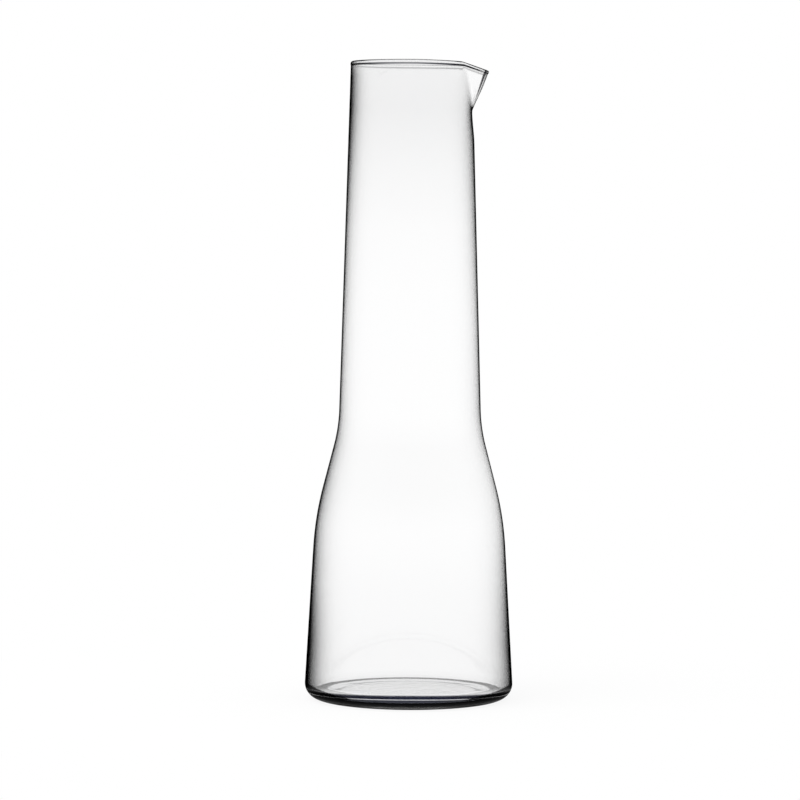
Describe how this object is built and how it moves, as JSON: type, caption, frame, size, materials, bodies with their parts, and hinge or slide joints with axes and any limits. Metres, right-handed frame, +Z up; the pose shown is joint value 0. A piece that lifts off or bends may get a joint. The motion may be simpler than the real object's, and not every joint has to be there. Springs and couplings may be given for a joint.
{
  "type": "water carafe",
  "caption": "Clear glass water carafe with a slightly tapering body, a tall straight neck and a pulled pouring spout; holds and pours drinks.",
  "frame": {"origin": "on the carafe's axis, in the plane that it rests on", "axes": "+Z up along the axis, +X towards the pouring spout"},
  "size_m": [0.0982, 0.098, 0.3],
  "materials": {
    "clear_glass": "clear colourless blown glass, smooth and fire-polished"
  },
  "bodies": {
    "root": {"carafe_glass": "clear_glass"}
  },
  "joints": []
}
